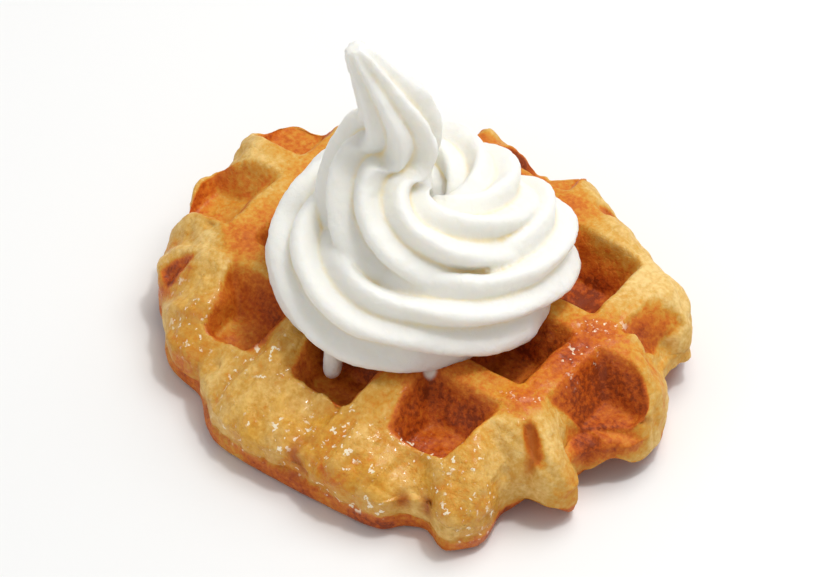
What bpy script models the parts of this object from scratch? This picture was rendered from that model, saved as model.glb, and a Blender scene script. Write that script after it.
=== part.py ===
"""A liege waffle with a swirl of soft-serve cream piped on top.

The waffle is an iron-pressed slab, with square pockets on both faces, limited by a domed puck of
dough that ran out unevenly between the teeth of the iron. The cream is one fluted rope that winds
inwards and upwards, clockwise seen from above, and ends in a peak that leans over.

+Z is up. The origin is on the table, under the middle of the waffle's outline. Lengths in metres.
"""

import math

import bmesh
import bpy
import numpy as np

# The iron: ridges run along X and along Y, one pitch apart.
PITCH = 0.025
GRID_SHIFT = (0.507, 0.355)  # where one crossing of ridges lies, in pitches from the middle
THICKNESS = 0.022
TOP_POCKET_DEPTH = 0.0100
BOTTOM_POCKET_DEPTH = 0.0070
RIDGE_HALF_WIDTH = 0.0022  # of the flat on top of a ridge
RIDGE_ROUNDING = 0.0015
FLOOR_HALF_WIDTH = 0.0046
RIDGE_SOFTENING = 0.0006  # how far the rounded shoulder of a ridge drops

# The dough: its outline in plan, in pitches from that crossing, counter-clockwise from the right.
# Lobes stand where the dough ran out along a ridge, and notches where a tooth held it back.
OUTLINE = (
    (1.79, -0.26),
    (1.73, -0.02),
    (1.52, 0.22),
    (1.40, 0.44),
    (1.42, 0.69),
    (1.24, 0.94),
    (0.85, 1.12),
    (0.39, 1.28),
    (0.10, 1.44),
    (-0.31, 1.61),
    (-0.58, 1.44),
    (-0.98, 1.48),
    (-1.36, 1.50),
    (-1.78, 1.24),
    (-2.19, 0.86),
    (-2.38, 0.70),
    (-2.65, 0.67),
    (-2.73, 0.48),
    (-2.79, 0.22),
    (-2.75, -0.08),
    (-2.81, -0.44),
    (-2.71, -0.72),
    (-2.67, -1.04),
    (-2.50, -1.36),
    (-2.26, -1.57),
    (-2.01, -1.84),
    (-1.60, -1.96),
    (-1.32, -2.22),
    (-1.02, -2.31),
    (-0.26, -2.31),
    (0.42, -2.26),
    (0.61, -2.10),
    (0.80, -2.02),
    (1.06, -2.12),
    (1.26, -1.86),
    (1.20, -1.52),
    (1.33, -1.38),
    (1.56, -1.33),
    (1.64, -1.12),
    (1.42, -0.94),
    (1.54, -0.72),
    (1.75, -0.50),
)
RIM_HEIGHT = 0.0095  # of the widest line of the rim over the table
TOP_DOME_WIDTH = 0.0125  # how far in from the outline the top still falls away
DOME_ROUNDNESS = 2.0  # the power of that fall: 2 is a quarter ellipse and 1 is a straight slope
FREE_DOUGH_WIDTH = 0.0360  # the same in front, where the dough ran out past the iron's teeth
FREE_DOUGH_ROUNDNESS = 1.38
FREE_DOUGH_ANGLE = math.radians(-97)
FREE_DOUGH_SPREAD = math.radians(60)
FREE_DOUGH_EVENNESS = 4  # the power of its bell over the directions, flat-topped over 2
TOP_DOME_RISE = 0.0018  # how far the dough would stand over the iron's ridges
BOTTOM_DOME_WIDTH = 0.008
BOTTOM_DOME_RISE = 0.0012
DOUGH_WAVE = 0.0005  # unevenness of the dough's skin
# Places where the rim is broken down: pitches from the crossing, then radius and depth.
LOW_RIMS = (
    (1.64, -0.98, 0.0070, 0.0080),
    (1.47, 0.36, 0.0050, 0.0060),
)
MOST_LOWERED = 0.8  # of the dome's height over the rim, which a broken place may take away

# The cream: a star-shaped rope carried along a spiral, clockwise from the side at FRONT_ANGLE. Each
# row holds the turn in degrees, the distance of the rope's middle from the swirl's axis, its height
# over the ridges and its radius. The axis leans over towards LEAN_ANGLE as it nears the tip.
CREAM_CENTRE = (-0.0016, 0.0021)
FRONT_ANGLE = -53.0
FLUTES = 7
FLUTE_DEPTH = 0.36
GROOVE_SOFTNESS = 0.12
FIRST_FLUTE = 50.0  # where on the star the first flute lies at the front, in degrees above level
ROPE = (
    (-130.0, 0.0170, 0.0060, 0.0060),
    (-95.0, 0.0215, 0.0085, 0.0100),
    (-45.0, 0.0222, 0.0092, 0.0104),
    (-5.0, 0.0222, 0.0092, 0.0106),
    (28.0, 0.0240, 0.0088, 0.0108),
    (55.0, 0.0234, 0.0096, 0.0108),
    (90.0, 0.0208, 0.0104, 0.0106),
    (135.0, 0.0168, 0.0114, 0.0104),
    (180.0, 0.0150, 0.0122, 0.0102),
    (235.0, 0.0142, 0.0134, 0.0102),
    (300.0, 0.0136, 0.0158, 0.0106),
    (360.0, 0.0128, 0.0185, 0.0112),
    (400.0, 0.0112, 0.0214, 0.0116),
    (440.0, 0.0086, 0.0260, 0.0116),
    (480.0, 0.0052, 0.0320, 0.0107),
    (515.0, 0.0022, 0.0382, 0.0091),
    (548.0, 0.0005, 0.0444, 0.0074),
    (575.0, 0.0, 0.0500, 0.0058),
    (596.0, 0.0, 0.0548, 0.0044),
    (610.0, 0.0, 0.0586, 0.0032),
    (618.0, 0.0, 0.0612, 0.0022),
    (622.0, 0.0, 0.0626, 0.0013),
)
LEAN_ANGLE = -143.0
LEAN_FROM = 0.020
TIP_LEAN = 0.0140
SLUMP = 0.16  # how much further the lowest flutes of the rope spread
CORE_RADIUS = 0.0130  # of the cream inside the first turn, which the turns close over
CORE_HEIGHT = 0.0160
SEAT_GAP = 0.0003  # between the cream and the ridges that carry it
REMESH_SIZE = 0.0008  # of the skin that fuses the turns, before it is thinned out
THIN_RATIO = 0.095

# A drop of cream that hangs from the edge of the swirl into a front pocket, clear of its walls.
DROP_PLACE = (-0.0018, -0.0281)
DROP_TOP = 0.0270
DROP_BOTTOM = 0.0138
DROP_RADIUS = 0.0025


def clear_scene():
    for item in list(bpy.data.objects):
        bpy.data.objects.remove(item, do_unlink=True)


def make_material(name, colour, roughness):
    material = bpy.data.materials.new(name)
    material.use_nodes = True
    shader = material.node_tree.nodes["Principled BSDF"]
    shader.inputs["Base Color"].default_value = (*colour, 1.0)
    shader.inputs["Roughness"].default_value = roughness
    shader.inputs["Metallic"].default_value = 0.0
    return material


def make_object(name, points, faces, material=None):
    mesh = bpy.data.meshes.new(name)
    mesh.from_pydata(points, [], faces)
    if material:
        mesh.materials.append(material)
    shape = bmesh.new()
    shape.from_mesh(mesh)
    bmesh.ops.recalc_face_normals(shape, faces=shape.faces)
    shape.to_mesh(mesh)
    shape.free()
    mesh.shade_smooth()
    mesh.set_sharp_from_angle(angle=math.radians(40))
    item = bpy.data.objects.new(name, mesh)
    bpy.context.scene.collection.objects.link(item)
    return item


def make_helper(name, points, faces):
    """A cutter or a limit: it shapes another object and isn't part of the food."""
    item = make_object(name, points, faces)
    item.hide_render = True
    item.display_type = "WIRE"
    return item


def add_boolean(item, other, operation):
    cut = item.modifiers.new(operation.lower() + "_" + other.name, "BOOLEAN")
    cut.operation = operation
    cut.object = other
    cut.solver = "EXACT"


def grid_faces(rows, columns, closed_columns=False):
    """Quads between neighbouring rows of points, each row joined to itself where it is closed."""
    last = columns if closed_columns else columns - 1
    return [
        (
            row * columns + column,
            row * columns + (column + 1) % columns,
            (row + 1) * columns + (column + 1) % columns,
            (row + 1) * columns + column,
        )
        for row in range(rows - 1)
        for column in range(last)
    ]


def closed_spline(points, steps):
    """A smooth closed curve through the points: the Catmull-Rom spline, steps to a span."""
    here = np.asarray(points, float)
    before, after, beyond = (np.roll(here, shift, axis=0) for shift in (1, -1, -2))
    t = np.linspace(0.0, 1.0, steps, endpoint=False)[:, None, None]
    curve = 0.5 * (
        2 * here
        + (after - before) * t
        + (2 * before - 5 * here + 4 * after - beyond) * t**2
        + (3 * here - before - 3 * after + beyond) * t**3
    )
    return curve.transpose(1, 0, 2).reshape(-1, 2)


def outline_radius(angles):
    """Distance from the middle to the outline in each direction."""
    curve = (closed_spline(OUTLINE, 8) + GRID_SHIFT) * PITCH
    around = np.arctan2(curve[:, 1], curve[:, 0])
    return np.interp(angles, around, np.hypot(curve[:, 0], curve[:, 1]), period=2 * math.pi)


def dough_wave(x, y):
    """A slow unevenness from -1 to 1, the sum of three crossing waves."""
    return (
        np.sin(210 * x + 130 * y)
        + np.sin(-170 * x + 260 * y + 1.3)
        + np.sin(330 * x - 90 * y + 2.1)
    ) / 3


def ridge_distance(values, shift):
    """Distance to the nearest ridge line."""
    return np.abs((values / PITCH - shift + 0.5) % 1.0 - 0.5) * PITCH


def pocket_drop(x, y, depth):
    """How far the iron's teeth press in: nothing on the ridges, depth on the pockets' floors."""
    nearest = np.minimum(ridge_distance(x, GRID_SHIFT[0]), ridge_distance(y, GRID_SHIFT[1]))
    shoulder = RIDGE_HALF_WIDTH + RIDGE_ROUNDING
    return np.interp(
        nearest,
        (0.0, RIDGE_HALF_WIDTH, shoulder, PITCH / 2 - FLOOR_HALF_WIDTH),
        (0.0, 0.0, RIDGE_SOFTENING, depth),
    )


def grid_lines(shift, reach):
    """Lines along the edges of every ridge and every pocket floor, out to the reach."""
    shoulder = RIDGE_HALF_WIDTH + RIDGE_ROUNDING
    floor = PITCH / 2 - FLOOR_HALF_WIDTH
    offsets = np.array((RIDGE_HALF_WIDTH, shoulder, (shoulder + floor) / 2, floor))
    offsets = np.concatenate((-offsets[::-1], offsets))
    ridges = np.arange(math.floor(-reach / PITCH), math.ceil(reach / PITCH) + 1) + shift
    lines = (ridges[:, None] * PITCH + offsets).ravel()
    return lines[np.abs(lines) < reach]


def pressed_slab():
    """The slab that the iron would press without end: a top grid and a bottom grid, joined round."""
    xs = grid_lines(GRID_SHIFT[0], 2.62 * PITCH)
    ys = grid_lines(GRID_SHIFT[1], 2.25 * PITCH)
    x, y = np.meshgrid(xs, ys, indexing="ij")
    wave = DOUGH_WAVE * dough_wave(x, y)
    lift = pocket_drop(x, y, TOP_POCKET_DEPTH)
    top = THICKNESS - lift + wave * (0.3 + lift / TOP_POCKET_DEPTH)
    bottom = pocket_drop(x, y, BOTTOM_POCKET_DEPTH)
    rows, columns = x.shape
    count = rows * columns
    points = np.concatenate(
        [np.stack((x, y, z), axis=-1).reshape(-1, 3) for z in (top, bottom)]
    )
    faces = grid_faces(rows, columns)
    faces += [tuple(count + corner for corner in reversed(face)) for face in faces]
    border = (
        [row * columns for row in range(rows)]
        + [(rows - 1) * columns + column for column in range(1, columns)]
        + [row * columns + columns - 1 for row in range(rows - 2, -1, -1)]
        + list(range(columns - 2, 0, -1))
    )
    faces += [
        (here, there, count + there, count + here)
        for here, there in zip(border, border[1:] + border[:1])
    ]
    return points.tolist(), faces


def free_dough(angles):
    """From 0 to 1, how far the dough ran free of the iron in each direction."""
    turn = (angles - FREE_DOUGH_ANGLE + math.pi) % (2 * math.pi) - math.pi
    return np.exp(-((turn / FREE_DOUGH_SPREAD) ** FREE_DOUGH_EVENNESS))


def rim_drop(x, y):
    """How far the broken places of the rim stand lower: a bell round each of them."""
    drop = np.zeros_like(x)
    for across, along, radius, depth in LOW_RIMS:
        gap_x = x - (across + GRID_SHIFT[0]) * PITCH
        gap_y = y - (along + GRID_SHIFT[1]) * PITCH
        drop += depth * np.exp(-(gap_x**2 + gap_y**2) / radius**2)
    return drop


def dome(edge, width, power):
    """A quarter superellipse from 0 at the outline to 1 where the dome has its full height."""
    return (1 - np.clip(1 - edge / width, 0.0, 1.0) ** power) ** (1 / power)


def dough_puck():
    """The round of dough: rings that follow the outline, over the top and back under the bottom."""
    around = np.linspace(-math.pi, math.pi, 120, endpoint=False)
    reach = outline_radius(around)
    fractions = np.array((0.12, 0.36, 0.52, 0.64, 0.74, 0.82, 0.89, 0.94, 0.975, 0.995))
    under = np.array((0.985, 0.95, 0.90, 0.83, 0.74, 0.40))
    rise = THICKNESS + TOP_DOME_RISE - RIM_HEIGHT
    free = free_dough(around)
    width = TOP_DOME_WIDTH + (FREE_DOUGH_WIDTH - TOP_DOME_WIDTH) * free
    roundness = DOME_ROUNDNESS + (FREE_DOUGH_ROUNDNESS - DOME_ROUNDNESS) * free
    rings = []
    for fraction in fractions:
        height = rise * dome((1 - fraction) * reach, width, roundness)
        drop = rim_drop(fraction * reach * np.cos(around), fraction * reach * np.sin(around))
        rings.append((fraction, RIM_HEIGHT + height - np.minimum(drop, MOST_LOWERED * height)))
    rings.append((1.0, np.full_like(reach, RIM_HEIGHT)))
    for fraction in under:
        height = dome((1 - fraction) * reach, BOTTOM_DOME_WIDTH, DOME_ROUNDNESS)
        rings.append((fraction, RIM_HEIGHT - (RIM_HEIGHT + BOTTOM_DOME_RISE) * height))
    points = []
    for fraction, height in rings:
        x = fraction * reach * np.cos(around)
        y = fraction * reach * np.sin(around)
        wave = DOUGH_WAVE * dough_wave(x, y)
        points += np.stack((x, y, height + wave), axis=-1).tolist()
    faces = grid_faces(len(rings), len(around), closed_columns=True)
    first, last = 0, (len(rings) - 1) * len(around)
    faces.append(tuple(range(first, first + len(around))))
    faces.append(tuple(range(last + len(around) - 1, last - 1, -1)))
    return points, faces


def make_waffle():
    crust = make_material("golden_crust", (0.58, 0.30, 0.09), 0.55)
    waffle = make_object("waffle", *pressed_slab(), crust)
    add_boolean(waffle, make_helper("dough_puck", *dough_puck()), "INTERSECT")
    return waffle


def rope_table(steps):
    """The rope's angle, distance, height and radius, interpolated smoothly at even steps."""
    table = np.array(ROPE)
    knots = np.arange(len(table))
    at = np.linspace(0, len(table) - 1, steps)
    slopes = np.gradient(table, axis=0)
    low = np.minimum(at.astype(int), len(table) - 2)
    t = (at - knots[low])[:, None]
    start, end = table[low], table[low + 1]
    return (
        start * (2 * t**3 - 3 * t**2 + 1)
        + slopes[low] * (t**3 - 2 * t**2 + t)
        + end * (3 * t**2 - 2 * t**3)
        + slopes[low + 1] * (t**3 - t**2)
    )


def star_radius(phase):
    """Rounded lobes with narrow grooves between them, 1 on a lobe."""
    lobe = np.sqrt(np.cos(phase / 2) ** 2 + GROOVE_SOFTNESS**2)
    return 1 - FLUTE_DEPTH * (1 - np.minimum(lobe, 1.0))


def fluted_rope(steps=190, around=56):
    """The star carried along the spiral, square to it, with rounded ends.

    The nozzle doesn't turn as it circles, so a flute climbs round the rope as fast as the rope
    goes round the swirl.
    """
    turn, distance, height, radius = rope_table(steps).T
    bearing = np.radians(FRONT_ANGLE - turn)
    tip = ROPE[-1][2]
    lean = TIP_LEAN * (np.maximum(height - LEAN_FROM, 0.0) / (tip - LEAN_FROM)) ** 1.5
    path = np.stack(
        (
            CREAM_CENTRE[0] + distance * np.cos(bearing) + lean * math.cos(math.radians(LEAN_ANGLE)),
            CREAM_CENTRE[1] + distance * np.sin(bearing) + lean * math.sin(math.radians(LEAN_ANGLE)),
            THICKNESS + height,
        ),
        axis=-1,
    )
    ahead = np.gradient(path, axis=0)
    ahead /= np.linalg.norm(ahead, axis=1, keepdims=True)
    outward = np.stack((np.cos(bearing), np.sin(bearing), np.zeros(steps)), axis=-1)
    outward -= (outward * ahead).sum(axis=1, keepdims=True) * ahead
    outward /= np.linalg.norm(outward, axis=1, keepdims=True)
    upward = np.cross(ahead, outward)
    section = np.linspace(0, 2 * math.pi, around, endpoint=False)
    roll = np.radians(FIRST_FLUTE + turn)
    spread = radius[:, None] * star_radius(FLUTES * (section[None, :] - roll[:, None]))
    spread *= 1 + 2 * SLUMP * np.maximum(-np.sin(section), 0) * np.maximum(np.cos(section), 0)
    points = (
        path[:, None, :]
        + spread[..., None] * np.cos(section)[None, :, None] * outward[:, None, :]
        + spread[..., None] * np.sin(section)[None, :, None] * upward[:, None, :]
    )
    points = points.reshape(-1, 3).tolist()
    faces = grid_faces(steps, around, closed_columns=True)
    faces.append(tuple(range(around - 1, -1, -1)))
    faces.append(tuple(range((steps - 1) * around, steps * around)))
    return points, faces


def swirl_core(rows=10, around=32):
    """A low mound inside the turns: a half ellipse turned about the swirl's axis."""
    level = np.linspace(-0.5 * math.pi, 0.5 * math.pi, rows)[1:-1, None]
    circle = np.linspace(0, 2 * math.pi, around, endpoint=False)[None, :]
    x = CREAM_CENTRE[0] + CORE_RADIUS * np.cos(level) * np.cos(circle)
    y = CREAM_CENTRE[1] + CORE_RADIUS * np.cos(level) * np.sin(circle)
    z = THICKNESS + CORE_HEIGHT * np.sin(level) + 0 * circle
    points = np.stack((x, y, z), axis=-1).reshape(-1, 3).tolist()
    faces = grid_faces(rows - 2, around, closed_columns=True)
    faces.append(tuple(range(around - 1, -1, -1)))
    faces.append(tuple(range((rows - 3) * around, (rows - 2) * around)))
    return points, faces


def outer_shell(item):
    """The object's mesh as its modifiers leave it, less the hollows that the turns closed over."""
    graph = bpy.context.evaluated_depsgraph_get()
    mesh = bpy.data.meshes.new_from_object(item.evaluated_get(graph))
    item.modifiers.clear()
    item.data = mesh
    shape = bmesh.new()
    shape.from_mesh(mesh)
    left = set(shape.verts)
    islands = []
    while left:
        island = set()
        fresh = {left.pop()}
        while fresh:
            island |= fresh
            fresh = {end for vert in fresh for edge in vert.link_edges for end in edge.verts} - island
        left -= island
        islands.append(island)
    outer = max(islands, key=len)
    inner = [vert for vert in shape.verts if vert not in outer]
    bmesh.ops.delete(shape, geom=inner, context="VERTS")
    shape.to_mesh(mesh)
    shape.free()
    mesh.shade_smooth()


def seat_block():
    """All that lies lower than the cream's seat on the ridges."""
    half = 2 * PITCH
    corners = ((-half, -half), (half, -half), (half, half), (-half, half))
    points = [(x, y, z) for z in (-PITCH, THICKNESS + SEAT_GAP) for x, y in corners]
    faces = [(3, 2, 1, 0), (4, 5, 6, 7), (0, 1, 5, 4), (1, 2, 6, 5), (2, 3, 7, 6), (3, 0, 4, 7)]
    return points, faces


def hanging_drop(rows=9, around=16):
    """A body of revolution, widest near its lower end and narrower where it hangs from the cream."""
    fall = np.linspace(0.0, 1.0, rows)[:, None]
    circle = np.linspace(0, 2 * math.pi, around, endpoint=False)[None, :]
    radius = DROP_RADIUS * np.maximum((0.62 + 0.38 * fall) * (1 - fall**6) ** 0.5, 0.12)
    x = DROP_PLACE[0] + radius * np.cos(circle)
    y = DROP_PLACE[1] + radius * np.sin(circle)
    z = DROP_TOP + (DROP_BOTTOM - DROP_TOP) * fall + 0 * circle
    points = np.stack((x, y, z), axis=-1).reshape(-1, 3).tolist()
    faces = grid_faces(rows, around, closed_columns=True)
    faces.append(tuple(range(around)))
    faces.append(tuple(range(rows * around - 1, (rows - 1) * around - 1, -1)))
    return points, faces


def make_cream():
    cream_material = make_material("soft_serve_cream", (0.86, 0.83, 0.76), 0.45)
    points, faces = fluted_rope()
    core_points, core_faces = swirl_core()
    faces += [tuple(len(points) + corner for corner in face) for face in core_faces]
    cream = make_object("soft_serve", points + core_points, faces, cream_material)
    fuse = cream.modifiers.new("fuse_turns", "REMESH")
    fuse.mode = "VOXEL"
    fuse.voxel_size = REMESH_SIZE
    outer_shell(cream)
    thin = cream.modifiers.new("thin_out", "DECIMATE")
    thin.ratio = THIN_RATIO
    add_boolean(cream, make_helper("seat", *seat_block()), "DIFFERENCE")
    add_boolean(cream, make_helper("drop", *hanging_drop()), "UNION")
    return cream


def main():
    clear_scene()
    make_waffle()
    make_cream()


main()
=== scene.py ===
"""The looks of a liege waffle with a swirl of soft-serve cream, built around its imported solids.

The waffle is one closed surface: an iron's ridges and pockets blended into a lumpy dome of dough.
The cream is a star-shaped rope carried along a spiral, fused and smoothed. Lengths are in metres.
"""

import itertools
import math

import bmesh
import bpy
import numpy as np
from bpy.props import FloatProperty, FloatVectorProperty, PointerProperty
from mathutils import Matrix, Vector


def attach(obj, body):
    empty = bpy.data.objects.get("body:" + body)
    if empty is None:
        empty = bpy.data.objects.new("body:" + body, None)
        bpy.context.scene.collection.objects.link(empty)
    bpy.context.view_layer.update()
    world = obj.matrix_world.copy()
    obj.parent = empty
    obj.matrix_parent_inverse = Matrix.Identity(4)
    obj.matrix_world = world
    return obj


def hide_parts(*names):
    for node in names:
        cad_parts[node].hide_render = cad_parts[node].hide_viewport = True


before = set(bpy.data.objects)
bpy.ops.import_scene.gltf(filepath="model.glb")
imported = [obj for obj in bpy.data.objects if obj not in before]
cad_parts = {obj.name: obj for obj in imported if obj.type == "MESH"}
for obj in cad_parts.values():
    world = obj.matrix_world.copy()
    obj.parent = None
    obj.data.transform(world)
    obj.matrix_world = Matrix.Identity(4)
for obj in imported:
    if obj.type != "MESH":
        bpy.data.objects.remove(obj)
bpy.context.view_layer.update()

bl_info = {
    "name": "Waffle with soft-serve cream",
    "version": (1, 0, 0),
    "blender": (4, 5, 0),
    "location": "3D View > Sidebar > Waffle",
    "description": "Builds a pressed sugar waffle, its cream swirl and a plain stage",
    "category": "Object",
}

MM = 0.001

# The iron, as in the solids: ridges along X and along Y, one pitch apart. The crossing that places
# are counted from stands off the origin by the shift, in pitches.
PITCH = 0.025
GRID_SHIFT = (0.507, 0.355)
THICKNESS = 0.022
TOP_DEPTH = 0.0100
BOTTOM_DEPTH = 0.0070
RIDGE_EDGE = 0.0030  # from a ridge's middle to where its wall starts to fall
FLOOR_EDGE = 0.0082  # from a ridge's middle to the foot of its wall
WALL_ROUNDING = 0.035  # of the wall's top and foot, as a share of its width
CORNER_BLEND = 0.0018  # round a pocket's corners
TOP_BLEND = 0.0016  # where the iron's pattern meets the dough
BOTTOM_BLEND = 0.0012
TOP_PRESSED = (-0.0006, 0.0010)  # dough's height over the iron, from untouched to fully pressed
FOOT_PRESSED = (0.0042, 0.0006)  # height up to which the foot is pressed, and its blur

# The dough's outline in plan, in pitches from the crossing, counter-clockwise from the right.
OUTLINE = (
    (1.79, -0.26), (1.73, -0.02), (1.52, 0.22), (1.40, 0.44), (1.42, 0.69), (1.24, 0.94),
    (0.85, 1.12), (0.39, 1.28), (0.10, 1.44), (-0.31, 1.61), (-0.58, 1.44), (-0.98, 1.48),
    (-1.36, 1.50), (-1.78, 1.24), (-2.19, 0.86), (-2.38, 0.70), (-2.65, 0.67), (-2.73, 0.48),
    (-2.79, 0.22), (-2.75, -0.08), (-2.81, -0.44), (-2.71, -0.72), (-2.67, -1.04), (-2.50, -1.36),
    (-2.26, -1.57), (-2.01, -1.84), (-1.60, -1.96), (-1.32, -2.22), (-1.02, -2.31), (-0.26, -2.31),
    (0.42, -2.26), (0.61, -2.10), (0.80, -2.02), (1.06, -2.12), (1.26, -1.86), (1.20, -1.52),
    (1.33, -1.38), (1.56, -1.33), (1.64, -1.12), (1.42, -0.94), (1.54, -0.72), (1.75, -0.50),
)
# Places on the crust: pitches from the crossing, millimetres up, a radius in millimetres and an
# amount. SWELLS push the skin out or in by millimetres, the browned places bake it more or less
# and at one place paint the cream's shadow, and WET lays melted sugar on it, which carries painted
# glints.
SWELLS = (
    (-1.78, -1.50, 16.0, 5.0, 1.2),
    (-1.45, -1.93, 13.4, 1.5, -1.8),
    (1.32, 0.49, 12.5, 1.5, -1.5),
    (-0.52, -2.12, 13.5, 3.0, 1.1),
    (0.00, -2.20, 11.5, 3.5, 1.3),
    (0.30, -2.15, 13.0, 4.0, 0.8),
    (-1.00, -2.10, 13.0, 4.0, 0.9),
    (0.95, -2.02, 12.0, 3.5, 0.9),
)
BROWNED_AND_SHADED = (
    (-1.85, -1.50, 18.0, 7.0, -0.45),
    (1.00, 0.00, 22.0, 7.0, 0.16),
    (1.00, -0.50, 22.0, 7.0, 0.60),
    # Painted shadow: the shadow that the cream casts on this pocket's floor, painted as browning.
    (0.50, 0.50, 12.0, 6.0, 0.65),
    (0.44, -0.30, 12.0, 7.0, 0.20),
    (0.46, 0.76, 17.0, 5.0, -0.30),
    (-1.59, -1.40, 12.0, 5.0, -0.20),
    (0.50, -1.61, 12.0, 5.0, 0.12),
    (1.28, -1.30, 16.0, 6.5, -0.9),
    (1.51, -0.76, 9.5, 4.2, 0.45),
    (1.66, -0.60, 9.5, 3.6, 0.40),
    (1.43, -0.72, 13.0, 4.5, 0.45),
    (1.55, -0.62, 12.5, 3.5, 0.25),
    (1.40, -0.86, 10.5, 3.2, 0.30),
    (1.75, -0.46, 9.5, 2.6, 0.40),
    (1.06, -0.25, 22.0, 6.0, 0.10),
    (1.24, -1.22, 19.5, 2.8, 0.75),
    (1.30, -1.29, 17.0, 3.0, 0.75),
    (1.33, -1.33, 14.5, 2.8, 0.70),
    (-1.80, -1.95, 7.5, 3.6, 0.55),
    (-2.33, -1.42, 12.0, 3.6, 0.55),
    (-2.18, -1.32, 17.5, 3.2, 0.60),
    (-2.42, -1.42, 7.0, 4.0, 0.45),
    (-2.45, -0.35, 16.0, 11.0, -0.50),
    (-2.50, 0.50, 14.0, 8.0, -0.20),
    (1.48, 0.40, 13.0, 3.0, 0.35),
    (-0.06, -2.29, 11.0, 2.6, 0.5),
    (0.10, -2.29, 11.0, 2.6, 0.4),
    (-0.14, -1.81, 20.7, 6.0, -0.12),
    (0.55, -1.12, 21.6, 5.0, -0.12),
    (0.91, 0.58, 21.4, 10.0, -0.30),
    (0.29, 0.94, 20.8, 10.0, -0.20),
    (-2.30, -1.16, 18.9, 7.0, -0.2),
    (-2.66, 0.04, 16.0, 6.0, -0.2),
    (-1.60, -1.00, 22.0, 6.0, 0.12),
    (0.20, -1.00, 22.0, 7.0, 0.12),
)
WET = (
    (0.94, -0.96, 21.6, 6.0, 1.0),
    (0.83, -1.89, 18.9, 9.0, 1.0),
    (1.24, -1.90, 9.5, 9.0, 0.9),
    (-0.38, -2.17, 17.0, 9.0, 1.0),
    (-1.15, -1.83, 19.8, 7.0, 0.7),
    (-0.82, -2.27, 13.8, 9.0, 1.0),
    (0.20, -2.25, 13.0, 9.0, 1.0),
    (1.00, 0.00, 21.6, 7.0, 0.7),
    (1.10, -0.45, 21.6, 6.0, 0.9),
    (0.50, -1.62, 12.0, 5.0, 0.8),
    (-0.68, -2.15, 14.3, 6.0, 0.6),
    (-0.03, -1.87, 17.8, 5.0, 0.6),
    (0.62, -1.89, 14.9, 5.0, 0.6),
    (0.40, -1.55, 12.1, 4.0, 0.5),
    (1.08, 0.12, 21.8, 5.0, 0.4),
    (0.50, -1.95, 14.0, 7.0, 0.8),
    (1.51, -1.18, 16.2, 5.0, 0.3),
    (-1.85, -1.80, 16.0, 7.0, 0.7),
    (-2.30, -1.30, 14.0, 8.0, 0.5),
    (-2.55, -0.60, 14.0, 7.0, 0.5),
)
# Melted cream that ran from under the swirl down between two ridges.
MILKY = (
    (0.12, -1.10, 21.2, 2.6, 0.9),
    (0.18, -1.17, 20.6, 1.9, 0.6),
)
# Tears in the crust: half width and depth in millimetres, and the places they run through.
TEARS = (
    (1.1, 1.3, ((-0.31, -2.13, 14.2), (-0.39, -2.20, 13.2), (-0.39, -2.30, 10.8), (-0.28, -2.31, 8.0))),
    (1.1, 1.3, ((0.55, -1.96, 13.8), (0.60, -2.08, 11.8), (0.62, -2.12, 8.5))),
    (0.9, 1.0, ((0.68, -2.04, 12.5), (0.79, -2.02, 10.0), (0.80, -2.03, 7.5))),
    (1.0, 0.9, ((1.20, -1.18, 20.0), (1.25, -1.23, 18.9), (1.33, -1.32, 16.4), (1.32, -1.32, 13.4))),
    (0.7, 1.0, ((1.72, -0.38, 14.8), (1.74, -0.30, 12.5))),
)
RIM_HEIGHT = 0.0095
TOP_DOME_RISE = 0.0018
# The dome's fall: its width and its power, 2 for a quarter ellipse and 1 for a straight slope,
# round the pressed rim and where the dough ran free in front.
PRESSED_DOME = (0.0125, 2.0)
FREE_DOME = (0.0360, 1.38)
FREE_DOUGH_ANGLE = math.radians(-97)
FREE_DOUGH_SPREAD = math.radians(60)
# Places where the rim is broken down: pitches from the crossing, then radius and depth.
LOW_RIMS = (
    (1.55, -0.86, 0.0068, 0.0095),
    (1.46, -0.70, 0.0055, 0.0050),
    (1.68, -0.56, 0.0045, 0.0060),
    (1.47, 0.36, 0.0050, 0.0060),
    (0.55, -1.90, 0.0070, 0.0025),
    (-0.45, -1.88, 0.0070, 0.0025),
)
# Places that the iron's teeth pressed less, over dough that ran in: radius and share.
FILLED = (
    (1.12, 0.72, 0.0065, 0.85),
    (1.30, -1.38, 0.0070, 0.35),
    (-2.20, -0.40, 0.0060, 0.35),
)
FOOT_DOME = (0.0050, 3.2)
BAND_DOME = (0.0034, 4.5)
BAND_HEIGHT = 0.0050
CREASE_DEPTH = 0.0007
LOBES = 0.0009  # how far the free dough stands out behind each ridge and sinks between them
MEAN_RADIUS = 2.05 * PITCH
TOP_CELLS = 268
BOTTOM_CELLS = 134

# Noise of the crust: height, size in metres and seed. The heights of the first three and of the
# strands are shares of the lumpiness, the next four are metres, DEPTH_NOISE is a share of a
# pocket's depth, and RAGGED_NOISE moves the edge of the browning.
SLOW_NOISE = (1.0, 0.0130, 21)
BILLOW_NOISE = (1.1, 0.0090, 51)
CRUMPLE_NOISE = (0.60, 0.0050, 81)
STRAND_HEIGHT = 1.15
STRAND_SIZE = (0.0030, 0.0095)
STRAND_SEED = 71
GRAIN_NOISE = (0.00020, 0.0021, 31)
EDGE_NOISE = (0.00055, 0.0048, 41)
SWAY_NOISE = (0.0005, 0.016, 11)
BAND_NOISE = (0.0006, 0.012, 61)
DEPTH_NOISE = (0.07, 0.02, 12)
RAGGED_NOISE = (0.05, 0.0022, 91)
CALM_BAND = 0.85  # share of the noise that the pressed band loses
CREASE_WIDTH = 0.0006
TEAR_FULL = 0.9 * MM  # a tear this deep has the full colour of torn dough

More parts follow.
